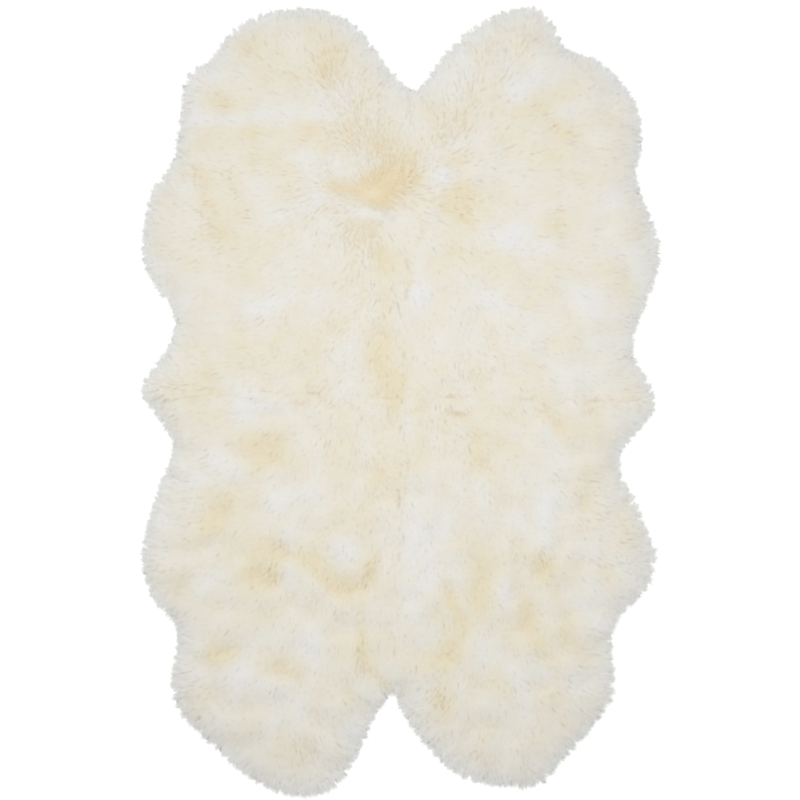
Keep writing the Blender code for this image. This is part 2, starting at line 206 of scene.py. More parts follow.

# A hollow is a place where the wool lies open and its creamy depth shows; its cream is partly painted
# shade. A puff stands proud, and its tips are white, partly as a painted highlight. Each is an ellipse
# with two half sizes, turned from across the rug, in degrees.
Patch = namedtuple("Patch", "x y half_length half_width turn strength")
HOLLOWS = (
    Patch(-0.330, 0.830, 0.050, 0.035, 20, 0.55),
    Patch(-0.165, 0.775, 0.045, 0.030, 30, 0.40),
    Patch(-0.415, 0.690, 0.038, 0.035, 0, 0.40),
    Patch(-0.345, 0.612, 0.038, 0.018, 10, 0.55),
    Patch(-0.370, 0.550, 0.090, 0.055, 20, 0.20),
    Patch(-0.140, 0.630, 0.100, 0.040, 0, 0.25),
    Patch(-0.045, 0.480, 0.032, 0.028, 0, 0.80),
    Patch(-0.005, 0.505, 0.050, 0.040, 0, 0.40),
    Patch(0.115, 0.450, 0.028, 0.048, 0, 0.50),
    Patch(0.115, 0.550, 0.035, 0.020, -20, 0.50),
    Patch(-0.033, 0.325, 0.020, 0.038, 0, 0.35),
    Patch(-0.035, 0.180, 0.028, 0.110, 0, 0.12),
    Patch(0.270, 0.660, 0.042, 0.014, -8, 0.35),
    Patch(0.360, 0.622, 0.032, 0.014, -42, 0.55),
    Patch(0.215, 0.485, 0.050, 0.028, 0, 0.25),
    Patch(-0.470, 0.360, 0.080, 0.080, 0, 0.15),
    Patch(-0.450, 0.050, 0.030, 0.050, -25, 0.35),
    Patch(-0.205, 0.070, 0.040, 0.035, 0, 0.40),
    Patch(-0.020, 0.040, 0.035, 0.090, 0, 0.30),
    Patch(-0.300, -0.105, 0.052, 0.042, -10, 0.80),
    Patch(-0.375, -0.050, 0.060, 0.015, -45, 0.30),
    Patch(-0.420, -0.245, 0.040, 0.060, 0, 0.40),
    Patch(-0.280, -0.340, 0.070, 0.018, -5, 0.80),
    Patch(-0.195, -0.370, 0.050, 0.024, -42, 0.80),
    Patch(-0.135, -0.420, 0.040, 0.026, -10, 1.00),
    Patch(-0.065, -0.390, 0.018, 0.036, 0, 0.50),
    Patch(-0.315, -0.398, 0.042, 0.020, -10, 1.40),
    Patch(-0.500, -0.410, 0.018, 0.034, 0, 0.50),
    Patch(-0.400, -0.575, 0.042, 0.020, 15, 0.90),
    Patch(-0.260, -0.610, 0.052, 0.020, -32, 0.65),
    Patch(-0.330, -0.500, 0.050, 0.018, 25, 0.25),
    Patch(-0.120, -0.680, 0.050, 0.028, 60, 0.25),
    Patch(0.160, -0.115, 0.036, 0.036, 0, 0.50),
    Patch(0.182, -0.410, 0.020, 0.055, 0, 0.90),
    Patch(0.118, -0.450, 0.034, 0.015, -70, 0.65),
    Patch(0.102, -0.575, 0.032, 0.024, 30, 0.95),
    Patch(0.150, -0.500, 0.070, 0.028, 50, 0.40),
    Patch(0.090, -0.680, 0.026, 0.060, 0, 0.50),
    Patch(0.322, -0.378, 0.032, 0.018, 55, 1.00),
    Patch(0.293, -0.490, 0.024, 0.048, 0, 0.75),
    Patch(0.400, -0.500, 0.055, 0.018, 15, 0.35),
    Patch(0.476, -0.430, 0.014, 0.060, 0, 0.35),
    Patch(0.512, -0.290, 0.022, 0.055, 0, 0.50),
    Patch(0.350, -0.050, 0.045, 0.012, -55, 0.30),
    Patch(0.460, -0.040, 0.045, 0.014, -60, 0.40),
    Patch(0.425, -0.190, 0.025, 0.050, 0, 0.30),
    Patch(-0.050, -0.150, 0.050, 0.100, 0, 0.20),
)
PUFFS = (
    Patch(-0.360, 0.755, 0.028, 0.028, 0, 0.40),
    Patch(-0.410, 0.645, 0.100, 0.020, 0, 0.45),
    Patch(-0.180, 0.660, 0.060, 0.018, 5, 0.35),
    Patch(-0.220, 0.460, 0.055, 0.040, 15, 0.55),
    Patch(-0.070, 0.435, 0.060, 0.014, -12, 0.70),
    Patch(0.085, 0.508, 0.028, 0.020, 0, 0.80),
    Patch(0.045, 0.370, 0.050, 0.040, 0, 0.30),
    Patch(0.040, 0.250, 0.024, 0.022, 0, 0.50),
    Patch(0.265, 0.705, 0.030, 0.028, 0, 0.50),
    Patch(0.360, 0.655, 0.030, 0.012, -10, 0.45),
    Patch(0.170, 0.540, 0.020, 0.060, 0, 0.30),
    Patch(0.240, 0.370, 0.045, 0.032, 0, 0.50),
    Patch(0.340, 0.360, 0.024, 0.024, 0, 0.50),
    Patch(0.270, 0.180, 0.120, 0.060, 0, 0.15),
    Patch(-0.310, 0.210, 0.050, 0.060, 0, 0.25),
    Patch(-0.100, 0.130, 0.022, 0.032, 0, 0.50),
    Patch(-0.330, 0.000, 0.075, 0.024, 5, 0.50),
    Patch(0.380, 0.060, 0.040, 0.050, 0, 0.35),
    Patch(-0.400, -0.125, 0.045, 0.016, -38, 0.50),
    Patch(-0.240, -0.210, 0.080, 0.028, 10, 0.45),
    Patch(-0.120, -0.335, 0.050, 0.024, -20, 0.45),
    Patch(-0.175, -0.440, 0.075, 0.010, -42, 0.80),
    Patch(-0.445, -0.410, 0.045, 0.028, 0, 0.40),
    Patch(-0.200, -0.560, 0.050, 0.055, -40, 0.35),
    Patch(-0.370, -0.635, 0.085, 0.016, -6, 0.60),
    Patch(0.060, -0.180, 0.050, 0.024, 0, 0.40),
    Patch(0.050, -0.300, 0.065, 0.050, 30, 0.40),
    Patch(0.260, -0.160, 0.036, 0.030, 0, 0.45),
    Patch(0.330, -0.260, 0.024, 0.075, 0, 0.40),
    Patch(0.237, -0.430, 0.018, 0.060, 0, 0.60),
    Patch(0.040, -0.420, 0.050, 0.050, 0, 0.30),
    Patch(0.290, -0.620, 0.030, 0.045, 0, 0.25),
)

# The wool is combed outwards from one point near the top, but along the rug in a strip near its
# middle, and the strip turns there too. Swirls bend it, and hollows and partings open it.
RUG_HALF_WIDTH = 0.6
RUG_HALF_LENGTH = 0.9
STRIP_X = 0.045
STRIP_HALF_WIDTH = 0.110
STRIP_SHARE = 0.8
STRIP_TURNS_Y = 0.48
STRIP_TURN_LENGTH = 0.06
SWIRL_SIZE = 0.120
SWIRL_STRENGTH = 0.8
OUTWARD_PULL = 2.8
OPENING = 0.2
RIM_WIDTH = 0.110
WARM_SIZE = 0.100
WARM_DETAIL = 0.034
MEAN_WARMTH = 0.50
WARM_VARIATION = 0.56
# Cream added in the hollows is partly painted shade; cream taken away on the puffs is a painted
# highlight.
OPEN_CREAM_SHADE_AND_HIGHLIGHT = 1.4
LEAST_WARMTH = -0.1
MOST_WARMTH = 1.2
SWIRL_LEVEL = 3.0
RELIEF_LEVEL = 5.0
WARM_LEVEL = 7.0
DETAIL_LEVEL = 9.0


def noise_place(point, level, size):
    """Where noise of this size is read. Each use has its own level, so that no two are alike."""
    return Vector((point.x, point.y, level)) / size


def across_parting(parting, point):
    """The way and the distance from the parting's middle line to the place."""
    start = Vector((parting.start_x, parting.start_y, 0.0))
    run = Vector((parting.end_x, parting.end_y, 0.0)) - start
    flat = Vector((point.x, point.y, 0.0))
    share = min(1.0, max(0.0, (flat - start).dot(run) / run.length_squared))
    return flat - start - run * share


def combed(point, room, outward):
    """The way that the wool lies here, flat. It is shorter than 1 where the wool stands upright."""
    rim = math.exp(-((room / RIM_WIDTH) ** 2))
    upwards = point.y - STRIP_TURNS_Y
    outwards = Vector((point.x / RUG_HALF_WIDTH, upwards / RUG_HALF_LENGTH, 0.0)) * OUTWARD_PULL
    strip = math.exp(-(((point.x - STRIP_X) / STRIP_HALF_WIDTH) ** 2))
    turned = upwards / STRIP_TURN_LENGTH
    lengthwise = Vector((1 / math.cosh(turned), math.tanh(turned), 0.0))
    swirl = noise.noise_vector(noise_place(point, SWIRL_LEVEL, SWIRL_SIZE))
    lie = outwards.lerp(lengthwise, STRIP_SHARE * strip)
    lie += SWIRL_STRENGTH * Vector((swirl.x, swirl.y, 0.0))
    lie /= max(1.0, lie.length)
    lie = lie.lerp(outward, rim)
    for hollow in HOLLOWS:
        away = Vector((point.x - hollow.x, point.y - hollow.y, 0.0)) / hollow.half_length
        lie += away * OPENING * hollow.strength * patch_share(hollow, point)
    for parting in PARTINGS:
        away = across_parting(parting, point)
        share = PARTING_OPENS * parting.strength * math.exp(-((away.length / PARTING_SPREAD) ** 2))
        lie += away.normalized() * share
    return lie / max(1.0, lie.length)


def patch_share(patch, point):
    """How far the place is within the patch: 1 at its middle and almost nothing past its edge."""
    turn = math.radians(patch.turn)
    across, along = point.x - patch.x, point.y - patch.y
    lengthwise = (across * math.cos(turn) + along * math.sin(turn)) / patch.half_length
    sideways = (along * math.cos(turn) - across * math.sin(turn)) / patch.half_width
    return math.exp(-(lengthwise**2) - sideways**2)


def openness(point):
    """How open the wool lies here: above 0 in a hollow, where its depth shows, below 0 on a puff."""
    hollow = sum(patch.strength * patch_share(patch, point) for patch in HOLLOWS)
    return hollow - sum(patch.strength * patch_share(patch, point) for patch in PUFFS)


def warmth(point):
    """How creamy the wool is here: 0 is white and 1 is cream, and it goes a little past both. The
    hollows and partings add cream that is partly painted shade, and the puffs take cream away as a
    painted highlight.
    """
    coarse = noise.noise(noise_place(point, WARM_LEVEL, WARM_SIZE))
    fine = noise.noise(noise_place(point, DETAIL_LEVEL, WARM_DETAIL))
    warm = MEAN_WARMTH + WARM_VARIATION * (coarse + fine) + OPEN_CREAM_SHADE_AND_HIGHLIGHT * openness(point)
    # Along each parting, cream that is partly painted shade.
    for parting in PARTINGS:
        away = across_parting(parting, point).length
        warm += PARTING_CREAM_AND_SHADE * parting.strength * math.exp(-((away / PARTING_WIDTH) ** 2))
    return max(LEAST_WARMTH, min(MOST_WARMTH, warm))


# The four skins are tanned, suede side down, and lie flat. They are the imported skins, with the edges
# that are sewn together skived thinner from below, so that the thread doesn't stand proud there.
LEVEL_NORMAL_Z = 0.9
SKIVED_WIDTH = 0.007
SKIVED_DEPTH = 0.0009
SUEDE_COLOUR = (0.66, 0.55, 0.40, 1.0)
SUEDE_SHADOW = (0.55, 0.43, 0.29, 1.0)
NAP_SIZE = 0.0012
NAP_CONTRAST = 0.5
BLOTCH_SIZE = 0.060
BLOTCH_CONTRAST = 1.4
BLOTCHES_START = 0.35


class Wire:
    """A node's output. Arithmetic on it adds the Math or Vector Math nodes that work it out."""

    def __init__(self, socket):
        self.socket = socket

    @staticmethod
    def node(tree, kind, settings=None, inputs=None):
        """Adds a node: its settings are set first, then its inputs, by name or number."""
        added = tree.nodes.new(kind)
        for name, value in (settings or {}).items():
            setattr(added, name, value)
        for key, value in (inputs or {}).items():
            if isinstance(key, int):
                socket = added.inputs[key]
            else:
                socket = next(s for s in added.inputs if s.enabled and key in (s.name, s.identifier))
            if isinstance(value, Wire):
                tree.links.new(value.socket, socket)
            elif socket.type == "VECTOR" and isinstance(value, (int, float)):
                socket.default_value = (value, value, value)
            else:
                socket.default_value = value
        return Wire(next((s for s in added.outputs if s.enabled), None))

    def __getitem__(self, name):
        """Another output of the same node."""
        return Wire(next(s for s in self.socket.node.outputs if s.enabled and s.name == name))

    def maths(self, operation, *values):
        """The operation on this output and the values, as a vector if any of them is one."""
        everything = (self, *values)
        is_vector = any(isinstance(v, Wire) and v.socket.type == "VECTOR" for v in everything)
        kind = "ShaderNodeVectorMath" if is_vector else "ShaderNodeMath"
        inputs = dict(enumerate(everything))
        return Wire.node(self.socket.id_data, kind, {"operation": operation}, inputs)

    def reversed_maths(self, operation, value):
        """The operation with the value first and this output second."""
        is_vector = self.socket.type == "VECTOR"
        kind = "ShaderNodeVectorMath" if is_vector else "ShaderNodeMath"
        return Wire.node(self.socket.id_data, kind, {"operation": operation}, {0: value, 1: self})

    def __add__(self, value):
        return self.maths("ADD", value)

    def __sub__(self, value):
        return self.maths("SUBTRACT", value)

    def __mul__(self, value):
        return self.maths("MULTIPLY", value)

    def __truediv__(self, value):
        return self.maths("DIVIDE", value)

    def __pow__(self, value):
        return self.maths("POWER", value)

    def __radd__(self, value):
        return self.reversed_maths("ADD", value)

    def __rsub__(self, value):
        return self.reversed_maths("SUBTRACT", value)

    def __rmul__(self, value):
        return self.reversed_maths("MULTIPLY", value)

    def __rtruediv__(self, value):
        return self.reversed_maths("DIVIDE", value)

    def clamped(self):
        inputs = {"Value": self, "Min": 0.0, "Max": 1.0}
        return Wire.node(self.socket.id_data, "ShaderNodeClamp", {}, inputs)

    def least(self, value):
        return self.maths("MINIMUM", value)

    def most(self, value):
        return self.maths("MAXIMUM", value)


def suede():
    """Undyed suede: a fine nap, with soft darker blotches."""
    finish = bpy.data.materials.new("suede")
    finish.use_nodes = True
    tree = finish.node_tree
    shader = tree.nodes["Principled BSDF"]
    place = Wire.node(tree, "ShaderNodeTexCoord")["Object"]

    def grain(size, detail):
        inputs = {"Vector": place, "Scale": 1 / size, "Detail": detail}
        return Wire.node(tree, "ShaderNodeTexNoise", {}, inputs)["Fac"]

    nap = grain(NAP_SIZE, detail=3.0)
    blotches = grain(BLOTCH_SIZE, detail=4.0)
    share = blotches * BLOTCH_CONTRAST - BLOTCHES_START + (nap - 0.5) * NAP_CONTRAST
    inputs = {"Factor_Float": share.clamped(), "A_Color": SUEDE_COLOUR, "B_Color": SUEDE_SHADOW}
    colour = Wire.node(tree, "ShaderNodeMix", {"data_type": "RGBA"}, inputs)["Result"]
    inputs = {"Strength": 0.5, "Distance": 0.0004, "Height": nap}
    bump = Wire.node(tree, "ShaderNodeBump", {}, inputs)
    tree.links.new(colour.socket, shader.inputs["Base Color"])
    tree.links.new(bump.socket, shader.inputs["Normal"])
    shader.inputs["Roughness"].default_value = 0.95
    shader.inputs["Specular IOR Level"].default_value = 0.2
    return finish


def seam_points(pelt, others):
    """The places on the pelt's sides that lie against one of the others."""
    tree = tree_of([point for other in others for point, _ in skin_walls[other]])
    return [point for point, _ in skin_walls[pelt] if tree.find(point)[2] < SEAM_GAP]


suede_finish = suede()
for pelt in PELTS:
    skin_mesh = merged("hide_" + pelt)
    top = [face for face in skin_mesh.faces if face.normal.z > LEVEL_NORMAL_Z]
    skin_area = sum(face.calc_area() for face in top)
    underside = [face for face in skin_mesh.faces if face.normal.z < -LEVEL_NORMAL_Z]
    bmesh.ops.inset_region(skin_mesh, faces=underside, thickness=SKIVED_WIDTH, use_even_offset=True)
    seams = tree_of(seam_points(pelt, [other for other in PELTS if other != pelt]))
    for vert in skin_mesh.verts:
        if vert.co.z < ON_FLOOR and seams.find(vert.co)[2] < EDGE_STEP:
            vert.co.z = SKIVED_DEPTH
    skin_data = bpy.data.meshes.new("skin_" + pelt)
    skin_mesh.to_mesh(skin_data)
    skin_mesh.free()
    skin_data.materials.append(suede_finish)
    skin = bpy.data.objects.new("skin_" + pelt, skin_data)
    bpy.context.scene.collection.objects.link(skin)
    low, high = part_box("hide_" + pelt)
    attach(skin, "root")
    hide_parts("hide_" + pelt)
    high[0] - low[0]
    high[1] - low[1]


# The pelts are sewn edge to edge, from the suede side, with a furrier's overcast stitch: one short
# slanting pass of waxed thread after another over each seam.
SEWN_PAIRS = (
    ("upper_left", "upper_right"),
    ("lower_left", "lower_right"),
    ("upper_left", "lower_left"),
    ("upper_right", "lower_right"),
)
STITCH_INPUTS = {
    "Stitch Pitch": ("NodeSocketFloat", 0.0055),
    "Stitch Span": ("NodeSocketFloat", 0.0080),
    "Stitch Slant": ("NodeSocketFloat", 0.0022),
    "Thread Radius": ("NodeSocketFloat", 0.00032),
    "End Height": ("NodeSocketFloat", 0.0014),
    "Middle Height": ("NodeSocketFloat", -0.0006),
    "Thread": ("NodeSocketMaterial", None),
}
THREAD_COLOUR = (0.80, 0.74, 0.62, 1.0)
THREAD_TWIST = 900.0


def tree_with(label, sockets):
    """An empty Geometry Nodes tree with a mesh in and out, and the named inputs."""
    tree = bpy.data.node_groups.new(label, "GeometryNodeTree")
    tree.interface.new_socket("Geometry", in_out="INPUT", socket_type="NodeSocketGeometry")
    tree.interface.new_socket("Geometry", in_out="OUTPUT", socket_type="NodeSocketGeometry")
    for name, (kind, default) in sockets.items():
        socket = tree.interface.new_socket(name, in_out="INPUT", socket_type=kind)
        if default is not None:
            socket.default_value = default
    return tree


def stitch_tree():
    """The Geometry Nodes tree that sews stitches along a line of edges."""
    tree = tree_with("overcast stitches", STITCH_INPUTS)

    def node(kind, settings=None, inputs=None):
        return Wire.node(tree, kind, settings, inputs)

    asked = node("NodeGroupInput")
    line = node("GeometryNodeMeshToCurve", {}, {"Mesh": asked["Geometry"]})
    inputs = {"Curve": line, "Length": asked["Stitch Pitch"]}
    along = node("GeometryNodeCurveToPoints", {"mode": "LENGTH"}, inputs)
    turned = node("FunctionNodeAlignRotationToVector", {"axis": "X"}, {"Vector": along["Tangent"]})

    def corner(slant, span, height):
        return node("ShaderNodeCombineXYZ", {}, {"X": slant, "Y": span, "Z": height})

    reach = asked["Stitch Span"] * 0.5
    lean = asked["Stitch Slant"] * 0.5
    ends = {
        "Resolution": 6,
        "Start": corner(lean * -1.0, reach * -1.0, asked["End Height"]),
        "Middle": corner(0.0, 0.0, asked["Middle Height"]),
        "End": corner(lean, reach, asked["End Height"]),
    }
    path = node("GeometryNodeCurveQuadraticBezier", {}, ends)
    inputs = {"Resolution": 5, "Radius": asked["Thread Radius"]}
    ring = node("GeometryNodeCurvePrimitiveCircle", {}, inputs)
    inputs = {"Curve": path, "Profile Curve": ring, "Fill Caps": True}
    thread = node("GeometryNodeCurveToMesh", {}, inputs)
    inputs = {"Points": along["Points"], "Instance": thread, "Rotation": turned}
    stitches = node("GeometryNodeInstanceOnPoints", {}, inputs)
    stitches = node("GeometryNodeRealizeInstances", {}, {"Geometry": stitches})
    inputs = {"Geometry": stitches, "Material": asked["Thread"]}
    stitches = node("GeometryNodeSetMaterial", {}, inputs)
    out = tree.nodes.new("NodeGroupOutput")
    tree.links.new(stitches.socket, out.inputs["Geometry"])
    return tree


def made_by(tree, source, name, settings):
    """What the tree makes from the source object, as a plain mesh in an object of its own."""
    modifier = source.modifiers.new("maker", "NODES")
    modifier.node_group = tree
    identifiers = {s.name: s.identifier for s in tree.interface.items_tree if s.in_out == "INPUT"}
    for label, value in settings.items():
        modifier[identifiers[label]] = value
    evaluated = source.evaluated_get(bpy.context.evaluated_depsgraph_get())
    mesh = bpy.data.meshes.new_from_object(evaluated)
    mesh.name = name
    source.modifiers.remove(modifier)
    made = bpy.data.objects.new(name, mesh)
    bpy.context.scene.collection.objects.link(made)
    return made


def waxed_thread():
    """Undyed linen thread, with its twist as a slanting relief."""
    finish = bpy.data.materials.new("waxed thread")
    finish.use_nodes = True
    tree = finish.node_tree
    shader = tree.nodes["Principled BSDF"]
    place = Wire.node(tree, "ShaderNodeTexCoord")["Object"]
    inputs = {"Vector": place, "Scale": THREAD_TWIST}
    plies = Wire.node(tree, "ShaderNodeTexWave", {"bands_direction": "DIAGONAL"}, inputs)
    inputs = {"Strength": 0.6, "Distance": 0.0001, "Height": plies["Fac"]}
    bump = Wire.node(tree, "ShaderNodeBump", {}, inputs)
    tree.links.new(bump.socket, shader.inputs["Normal"])
    shader.inputs["Base Color"].default_value = THREAD_COLOUR
    shader.inputs["Roughness"].default_value = 0.6
    return finish


seam_ends = []
for pelt, other in SEWN_PAIRS:
    sewn = seam_points(pelt, [other])
    inner_end = min(sewn, key=lambda point: point.length)
    outer_end = max(sewn, key=lambda point: point.length)
    seam_ends += sorted((inner_end, outer_end), key=lambda point: point.x + point.y)
seam_line = bpy.data.meshes.new("seam lines")
seam_line.from_pydata(seam_ends, [(i, i + 1) for i in range(0, len(seam_ends), 2)], [])
seam_guide = bpy.data.objects.new("seam lines", seam_line)
bpy.context.scene.collection.objects.link(seam_guide)
stitches = made_by(stitch_tree(), seam_guide, "seam_stitches", {"Thread": waxed_thread()})
bpy.data.objects.remove(seam_guide)
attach(stitches, "root")


# The under-wool is the dense felt near the skin that the locks grow out of. It covers the skin,
# hangs over its cut edge and reaches the floor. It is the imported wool, lower and finer, with its
# dips along the seams filled and its edges there closed up.
UNDERWOOL_SHARE = 0.78
UNDERWOOL_BASE = 0.003
TOP_LEVEL = 0.012
SMOOTHING_ROUNDS = 8
RELIEF_SIZE = 0.045
RELIEF_HEIGHT = 0.009
HOLLOW_DEPTH = 0.009
SEAM_FILL = 0.0055
SEAM_FILL_WIDTH = 0.018
SEAM_CLOSES = 0.00015
SHARP_ANGLE = math.radians(60)
CROSSING_WIDTH = 0.007
RIM_DRAWN_IN = 0.015
RIM_STARTS = 0.038
LOWEST_ROOT = 0.002
TOP_NORMAL_Z = 0.3
RIM_NORMAL_Z = -0.2

seam_places = []
for pelt in PELTS:
    seam_places += seam_points(pelt, [other for other in PELTS if other != pelt])
seam_tree = tree_of(seam_places)


def distance_to_seam(point):
    return seam_tree.find((point.x, point.y, 0.0))[2]


def refined_underwool(node):
    """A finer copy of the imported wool, lower and drawn in at the rim to leave room for the locks."""
    mesh = merged(node)
    bmesh.ops.subdivide_edges(mesh, edges=mesh.edges[:], cuts=1, use_grid_fill=True)
    top = [vert for vert in mesh.verts if vert.co.z > TOP_LEVEL]
    loose = []
    for vert in top:
        to_seam = distance_to_seam(vert.co)
        vert.co.z += SEAM_FILL * math.exp(-((to_seam / SEAM_FILL_WIDTH) ** 2))
        if to_seam > EDGE_STEP:
            loose.append(vert)
    for _ in range(SMOOTHING_ROUNDS):
        bmesh.ops.smooth_vert(mesh, verts=loose, factor=0.5, use_axis_z=True)
    for vert in top:
        relief = noise.noise(noise_place(vert.co, RELIEF_LEVEL, RELIEF_SIZE)) * RELIEF_HEIGHT
        height = (vert.co.z - UNDERWOOL_BASE) * UNDERWOOL_SHARE + relief
        height -= HOLLOW_DEPTH * max(-1.0, min(1.0, openness(vert.co)))
        vert.co.z = UNDERWOOL_BASE + max(TOP_LEVEL - UNDERWOOL_BASE, height)
    mesh.normal_update()
    for vert in mesh.verts:
        if distance_to_seam(vert.co) < EDGE_STEP:
            vert.co += Vector((vert.normal.x, vert.normal.y, 0.0)).normalized() * SEAM_CLOSES
        room, outward = place_on_rug(vert.co)
        vert.co -= outward * RIM_DRAWN_IN * max(0.0, 1 - max(0.0, room) / RIM_STARTS)
    mesh.normal_update()
    return mesh


def grows_wool(face):
    """Whether locks grow on this face: on top and round the rim, but not below or in a seam."""
    room, _ = place_on_rug(face.center)
    at_rim = room < WOOL_OVERHANG and face.normal.z > RIM_NORMAL_Z
    at_rim = at_rim and distance_to_seam(face.center) > EDGE_STEP
    return face.center.z > LOWEST_ROOT and (face.normal.z > TOP_NORMAL_Z or at_rim)


def store(mesh, name, kind, domain, values):
    """Writes an attribute of the mesh: one number, vector or flag for each point or face."""
    attribute = mesh.attributes.new(name, kind, domain)
    if kind == "FLOAT_VECTOR":
        attribute.data.foreach_set("vector", [number for value in values for number in value])
    else:
        attribute.data.foreach_set("value", values)


def steadied(vert):
    """The way up for wool that grows here: straight up at a seam, so that it lies across it."""
    share = math.exp(-((distance_to_seam(vert.co) / CROSSING_WIDTH) ** 2))
    return vert.normal.lerp(Vector((0.0, 0.0, 1.0)), share)


def build_underwool(pelt):
    """The pelt's felt, with what its locks need to know stored on its points and faces."""
    name = "underwool_" + pelt
    mesh = bpy.data.meshes.new(name)
    refined = refined_underwool("fleece_" + pelt)
    refined.to_mesh(mesh)
    refined.free()
    mesh.shade_smooth()
    mesh.set_sharp_from_angle(angle=SHARP_ANGLE)
    places = [place_on_rug(vert.co) for vert in mesh.vertices]
    lies = [combed(vert.co, *place) for vert, place in zip(mesh.vertices, places)]
    store(mesh, "comb", "FLOAT_VECTOR", "POINT", lies)
    store(mesh, "up", "FLOAT_VECTOR", "POINT", [steadied(vert) for vert in mesh.vertices])
    store(mesh, "room", "FLOAT", "POINT", [room for room, _ in places])
    store(mesh, "warm", "FLOAT", "POINT", [warmth(vert.co) for vert in mesh.vertices])
    store(mesh, "grows", "BOOLEAN", "FACE", [grows_wool(face) for face in mesh.polygons])
    pad = bpy.data.objects.new(name, mesh)
    bpy.context.scene.collection.objects.link(pad)
    return pad


# The wool's own finish, on the locks and on the felt below them: whiter at the tips, cream in the
# patches and deeper cream towards the skin, with fine fibres along each lock. The rim is a cooler
# white greyed with painted shade. The deeper cream towards the skin and in the hollows and partings is
# partly the wool's own colour and partly painted shade.
TIP_COLOUR = (0.988, 0.984, 0.968, 1.0)
CREAM_COLOUR = (0.970, 0.903, 0.715, 1.0)
# Deeper cream towards the skin: partly the roots' own colour, partly painted shade for the depth among
# the locks.
ROOT_AND_PAINTED_SHADE_COLOUR = (0.960, 0.862, 0.620, 1.0)
# The rim's colour is a cooler white, greyed as painted shade where the wool falls away from the light.
RIM_PAINTED_SHADE_COLOUR = (0.935, 0.938, 0.925, 1.0)
DARKEST = (0.0, 0.0, 0.0, 1.0)
CREAM_STARTS = 0.038
CREAM_OF_PATCHES = 0.90
CREAM_OF_DEPTH = 0.12
CREAM_OF_TINT = 0.06
CREAM_OF_ALL = 0.06
# Weights of the deeper cream, which is partly painted shade.
DEEP_CREAM_OF_ALL = 0.15
DEEP_CREAM_OF_WARMTH = 0.5
DEEP_WARMTH = 0.8
DEEP_CREAM_PAST_IT = 0.9
# How wide and how strong the rim's painted shade is.
RIM_PAINTED_SHADE_WIDTH = 0.017
RIM_PAINTED_SHADE_SHARE = 0.8
LEAST_SHADE = 0.985
STREAK_SHADE = 0.02
FIBRE_BUMP = 0.03
# The felt is coloured as if it lay deep among the locks: partly its own cream, partly painted shade,
# since it lies open to the light.
FELT_ALONG = 0.35
FELT_TINT = 0.5
FELT_FIBRES = 400.0


def wool_finish(name, is_lock):
    """Wool that is coloured by the attributes of the locks, or by those of the felt."""
    finish = bpy.data.materials.new(name)
    finish.use_nodes = True
    tree = finish.node_tree
    shader = tree.nodes["Principled BSDF"]

    def attribute(label, output):
        return Wire.node(tree, "ShaderNodeAttribute", {"attribute_name": label})[output]

    def blend(first, second, share):
        inputs = {"Factor_Float": share, "A_Color": first, "B_Color": second}
        return Wire.node(tree, "ShaderNodeMix", {"data_type": "RGBA"}, inputs)["Result"]

    warm = attribute("warm", "Fac")
    room = attribute("room", "Fac").most(0.0)
    inner = 1 - (room / -CREAM_STARTS).maths("EXPONENT")
    if is_lock:
        along = attribute("along", "Fac")
        tint = attribute("tint", "Fac")
        fibre = attribute("fibre", "Vector")
    else:
        along = FELT_ALONG
        tint = FELT_TINT
        fibre = Wire.node(tree, "ShaderNodeTexCoord")["Object"] * FELT_FIBRES
    inputs = {"Vector": fibre, "Scale": 1.0, "Detail": 2.0}
    streaks = Wire.node(tree, "ShaderNodeTexNoise", {}, inputs)["Fac"]
    # How far down a lock the place is. The cream that depth adds is partly painted shade.
    depth = 1 - along
    cream = warm * CREAM_OF_PATCHES + depth * CREAM_OF_DEPTH
    cream = cream + (tint - 0.5) * CREAM_OF_TINT + CREAM_OF_ALL
    colour = blend(TIP_COLOUR, CREAM_COLOUR, (cream * inner).clamped())
    # Partly painted shade: the lower parts of the locks, the felt and the warmest places turn a deeper
    # cream, on top of the roots' own colour.
    deep_cream_and_shade = depth * depth * (DEEP_CREAM_OF_ALL + warm * DEEP_CREAM_OF_WARMTH)
    deep_cream_and_shade = deep_cream_and_shade + (warm - DEEP_WARMTH).most(0.0) * DEEP_CREAM_PAST_IT
    colour = blend(colour, ROOT_AND_PAINTED_SHADE_COLOUR, (deep_cream_and_shade * inner).clamped())
    # Painted shade: the wool is greyed towards the rim's edge, as if it were falling away from the
    # light.
    rim_painted_shade = (room / -RIM_PAINTED_SHADE_WIDTH).maths("EXPONENT") * RIM_PAINTED_SHADE_SHARE
    colour = blend(colour, RIM_PAINTED_SHADE_COLOUR, rim_painted_shade)
    shade = LEAST_SHADE + streaks * STREAK_SHADE
    colour = blend(DARKEST, colour, shade.clamped())
    inputs = {"Strength": FIBRE_BUMP, "Distance": 0.001, "Height": streaks}
    bump = Wire.node(tree, "ShaderNodeBump", {}, inputs)
    tree.links.new(colour.socket, shader.inputs["Base Color"])
    tree.links.new(bump.socket, shader.inputs["Normal"])
    shader.inputs["Roughness"].default_value = 0.9
    shader.inputs["Specular IOR Level"].default_value = 0.05
    return finish


felt_finish = wool_finish("felted wool", False)
lock_finish = wool_finish("combed wool", True)


